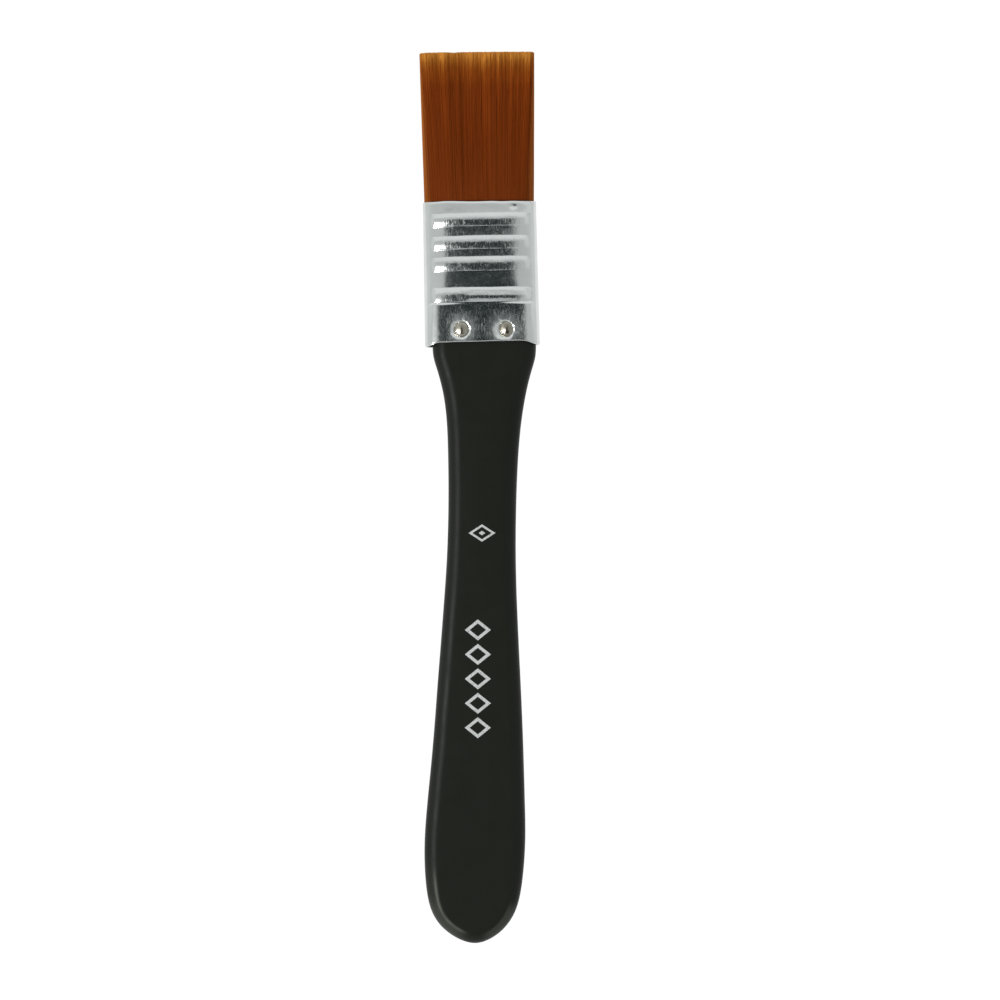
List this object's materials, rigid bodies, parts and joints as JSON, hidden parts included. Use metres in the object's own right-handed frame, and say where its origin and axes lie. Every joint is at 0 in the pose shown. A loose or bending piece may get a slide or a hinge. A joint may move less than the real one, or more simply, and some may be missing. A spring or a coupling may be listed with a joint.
{
  "type": "flat varnish brush",
  "caption": "Flat hand brush for varnish and washes: rounded-over wooden handle with a waisted neck, beaded metal ferrule fixed by nails, and a springy flat tuft.",
  "frame": {"origin": "centre of the bounding box in X and Y, at its lowest point: the brush lies on its back", "axes": "+Y along the brush towards the tuft's tips, +X across it to the right, +Z out of the front face"},
  "size_m": [0.0262, 0.196, 0.0091],
  "materials": {
    "handle_lacquer": "turned and sanded hardwood under satin black lacquer",
    "ferrule_metal": "nickel-plated sheet steel, fine handling scratches",
    "nail_metal": "plated steel, slightly warm",
    "filler_wood": "raw softwood strip",
    "setting_resin": "cured amber epoxy",
    "filament": "dark brown nylon filament with tapered golden tips"
  },
  "bodies": {
    "brush": {"handle": "handle_lacquer", "ferrule": "ferrule_metal", "nail_front_left": "nail_metal", "nail_front_right": "nail_metal", "nail_back_left": "nail_metal", "nail_back_right": "nail_metal", "spacer_strip": "filler_wood", "resin_plug": "setting_resin", "bristle_root_front": "filament", "bristle_root_back": "filament", "bristle_heel": "filament"},
    "tuft": {"bristle_belly_front": "filament", "bristle_belly_back": "filament"}
  },
  "joints": [
    {"name": "tuft_flex", "type": "hinge", "parent": "brush", "child": "tuft", "pos_m": [-0.00011, 0.0645, 0.00454], "axis": [0.9998, 0.0202, 0], "range_deg": [-38, 38], "stiffness_Nm_per_rad": 0.06, "deforming": ["bristle_heel"]}
  ]
}
